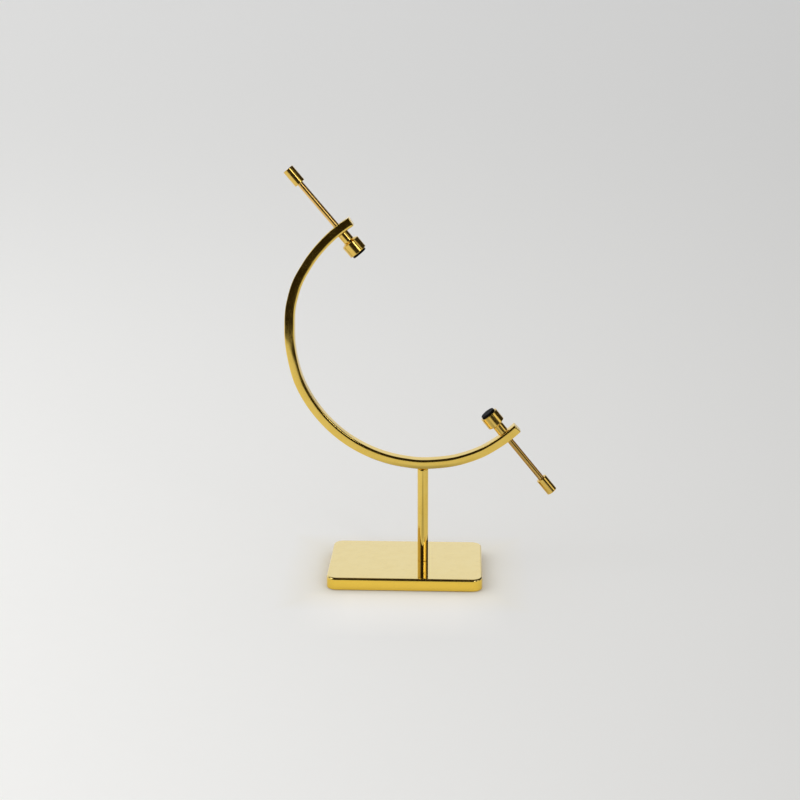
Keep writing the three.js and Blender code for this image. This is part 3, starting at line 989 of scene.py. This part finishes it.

# %% [markdown]
# ## The table and the light
# Polished metal shows the room more than it shows itself, so most of the work is in what it mirrors.
# All that is no mirror gets an even dome of daylight and two small lamps. The metal mirrors a room of its
# own: a bright wall behind, the dark in front and above, low pale sides, and one white card that draws the
# pale stripe down the lower clamp. In the metal the table ends softly in front of the stand, and the dark
# beyond it gives the black lines along the edges.
# The table's colour is painted a little darker away from the window, painted warmer round the plate, and
# painted to glow before it. The warmth and the glow are painted on, because light thrown by polished metal
# takes too many samples to come out.

# %% Lay the table
TABLE_REACH = 30.0
TABLE_COLOUR = (0.950, 0.943, 0.930)
# painted shade: the colour the table is darkened to on its far right
FAR_SIDE_PAINTED_SHADE = tuple(c * 0.80 for c in TABLE_COLOUR)
FLECK_COLOUR = tuple(c * 0.985 for c in TABLE_COLOUR)
# painted light: the warm tint on the table round the plate, how far it reaches and how strong it is
PAINTED_BOUNCE_COLOUR = (0.840, 0.800, 0.700)
PAINTED_BOUNCE_REACH, PAINTED_BOUNCE_STRENGTH = 28 * MM, 0.7
maker = bmesh.new()
bmesh.ops.create_circle(maker, cap_ends=True, radius=TABLE_REACH, segments=64)
data = bpy.data.meshes.new("table")
maker.to_mesh(data)
maker.free()
table = new_object("table", data)
table_paint, tree, shader = start_material("table_paint")
table.data.materials.append(table_paint)
here = place_vector(tree)
spot = split(tree, here)
paint = blend_colours(tree, noise(tree, here, 90, 4.0, 0.6), TABLE_COLOUR, FLECK_COLOUR)
# painted shade: the window is on the left, so the table's colour is painted darker to the right, in a fan
# that opens away from the viewer
away = calc(tree, "MAXIMUM", calc(tree, "SUBTRACT", spot["Y"], CAMERA_PLACE.y), 0.1)
fan = calc(tree, "DIVIDE", calc(tree, "SUBTRACT", spot["X"], CAMERA_PLACE.x), away)
fan = calc(tree, "ADD", fan, math.tan(CAMERA_TURN))
fan = product(tree, fan, remap(tree, spot["Y"], -0.50, -0.26, 0.0, 1.0))
paint = blend_colours(tree, remap(tree, fan, -0.32, 0.32, 0.0, 1.0), paint, FAR_SIDE_PAINTED_SHADE)
# painted light: the table round the plate is tinted warm, for the colour the brass throws on it
from_middle = calc(tree, "ABSOLUTE", spot["X"])
beside = calc(tree, "SUBTRACT", from_middle, PLATE_WIDTH / 2)
before = calc(tree, "SUBTRACT", calc(tree, "ABSOLUTE", spot["Y"]), PLATE_DEPTH / 2)
gap = calc(tree, "MAXIMUM", beside, before)
paint = blend_colours(tree, remap(tree, gap, 0.0, PAINTED_BOUNCE_REACH, PAINTED_BOUNCE_STRENGTH, 0.0), paint, PAINTED_BOUNCE_COLOUR)
print("table radius", TABLE_REACH)

# %% Paint shade on the table in the metal, and paint a glow on it
TABLE_FRONT, FRONT_FADE = 550 * MM, 15 * MM
# painted shade: how dark the table is painted where the post and the plate's front face mirror it
PAINTED_SHADE_STRENGTH = 0.42
# painted glow: the colour and strength of the light painted on the table before the plate
PAINTED_GLOW_COLOUR, PAINTED_GLOW_STRENGTH = (1.0, 0.90, 0.76, 1.0), 0.11


def band(value, start, full, still_full, end):
    """1 from full to still_full, and fading to 0 at start and end."""
    rise = remap(tree, value, start, full, 0.0, 1.0)
    return product(tree, rise, remap(tree, value, still_full, end, 1.0, 0.0))


# in the metal, the table ends in front of the stand and shows the dark room beyond
mirrored = add(tree, "ShaderNodeLightPath").outputs["Is Glossy Ray"]
front = product(tree, spot["Y"], -1.0)
gone = remap(tree, front, TABLE_FRONT - FRONT_FADE, TABLE_FRONT + FRONT_FADE, 0.0, 1.0)
clear = add(tree, "ShaderNodeBsdfTransparent").outputs[0]
shares = {0: product(tree, gone, mirrored), 1: shader.outputs[0], 2: clear}
faded = add(tree, "ShaderNodeMixShader", shares)
tree.links.new(faded.outputs[0], tree.nodes["Material Output"].inputs[0])
# painted shade, seen only in the metal: the table is darkened where the post and the plate's front face
# mirror it, as if the maker leaned over it
aside = calc(tree, "ABSOLUTE", calc(tree, "SUBTRACT", spot["X"], POST_X))
shade = product(tree, remap(tree, aside, 10 * MM, 50 * MM, 1.0, 0.0),
                band(front, 40 * MM, 60 * MM, 160 * MM, 220 * MM), mirrored, PAINTED_SHADE_STRENGTH)
paint = blend_colours(tree, shade, paint, (0.0, 0.0, 0.0))
# painted glow: the table before the plate's front face emits a little light, for the light that face throws
# on it
edge = PLATE_DEPTH / 2
glow = product(tree, remap(tree, from_middle, 30 * MM, 60 * MM, 1.0, 0.0),
               band(front, edge, edge + 6 * MM, edge + 10 * MM, edge + 60 * MM), PAINTED_GLOW_STRENGTH)
feed(tree, shader, {"Base Color": paint, "Roughness": 0.6, "Specular IOR Level": 0.25,
                    "Emission Color": PAINTED_GLOW_COLOUR, "Emission Strength": glow})
print("table nodes", len(tree.nodes))

# %% Set the room
SOFT_LIGHT = (0.812, 0.814, 0.808, 1)
BACKDROP = (0.690, 0.690, 0.680, 1)
ROOM_DARK = (0.024, 0.018, 0.009)
ROOM_SIDES = (0.60, 0.59, 0.55)
LEFT_SIDE_TOP, RIGHT_SIDE_TOP = 0.44, 0.10
WALL_LIGHT = (0.86, 0.89, 0.97)
CARD_LIGHT = (1.05, 1.0, 0.88)
CARD_DIRECTION = Vector((0.845, -0.39, 0.345)).normalized()
world = bpy.context.scene.world or bpy.data.worlds.new("room")
bpy.context.scene.world = world
world.use_nodes = True
tree = world.node_tree
tree.nodes.clear()
direction = add(tree, "ShaderNodeTexCoord").outputs["Generated"]
parts = split(tree, direction)
wall = product(tree, remap(tree, parts["Y"], 0.25, 0.60, 0.0, 1.0),
               remap(tree, parts["Z"], 0.62, 0.80, 1.0, 0.0),
               remap(tree, parts["X"], 0.25, 0.45, 1.0, 0.0))
# the pale side walls stand high on the left and low on the right
side_top = remap(tree, parts["X"], -0.1, 0.1, LEFT_SIDE_TOP, RIGHT_SIDE_TOP)
over = calc(tree, "SUBTRACT", parts["Z"], side_top)
low = product(tree, remap(tree, over, -0.04, 0.04, 1.0, 0.0),
              remap(tree, parts["Y"], -0.66, -0.50, 0.0, 1.0))
room = blend_colours(tree, wall, blend_colours(tree, low, ROOM_DARK, ROOM_SIDES), WALL_LIGHT)
pair = {0: direction, 1: CARD_DIRECTION}
towards = add(tree, "ShaderNodeVectorMath", pair, operation="DOT_PRODUCT").outputs["Value"]
room = blend_colours(tree, remap(tree, towards, 0.968, 0.984, 0.0, 1.0), room, CARD_LIGHT)
# mirrors see the room, the camera a plain backdrop of the far table's tone, and all else the even dome
light = add(tree, "ShaderNodeBackground", {"Color": SOFT_LIGHT}).outputs[0]
for ray, colour in (("Is Glossy Ray", room), ("Is Camera Ray", BACKDROP)):
    chosen = add(tree, "ShaderNodeLightPath").outputs[ray]
    seen = add(tree, "ShaderNodeBackground", {"Color": colour}).outputs[0]
    light = add(tree, "ShaderNodeMixShader", {0: chosen, 1: light, 2: seen}).outputs[0]
tree.links.new(light, add(tree, "ShaderNodeOutputWorld").inputs[0])
print("room nodes", len(tree.nodes))

# %% Set the lamps


def softbox(name, place, target, width, height, watts):
    """A rectangular area light that faces a target."""
    light = bpy.data.lights.new(name, "AREA")
    light.shape = "RECTANGLE"
    light.size, light.size_y = width, height
    light.energy = watts
    made = new_object(name, light)
    made.location = place
    made.rotation_euler = (Vector(target) - Vector(place)).to_track_quat("-Z", "Y").to_euler()


middle = (cad_low + cad_high) / 2
softbox("left_lamp", (-1.2, -0.3, 1.1), middle, 0.8, 0.8, 3.5)
softbox("right_lamp", middle + Vector((0.50, -0.77, 0.40)) * 1.6, middle, 0.25, 0.6, 1.8)
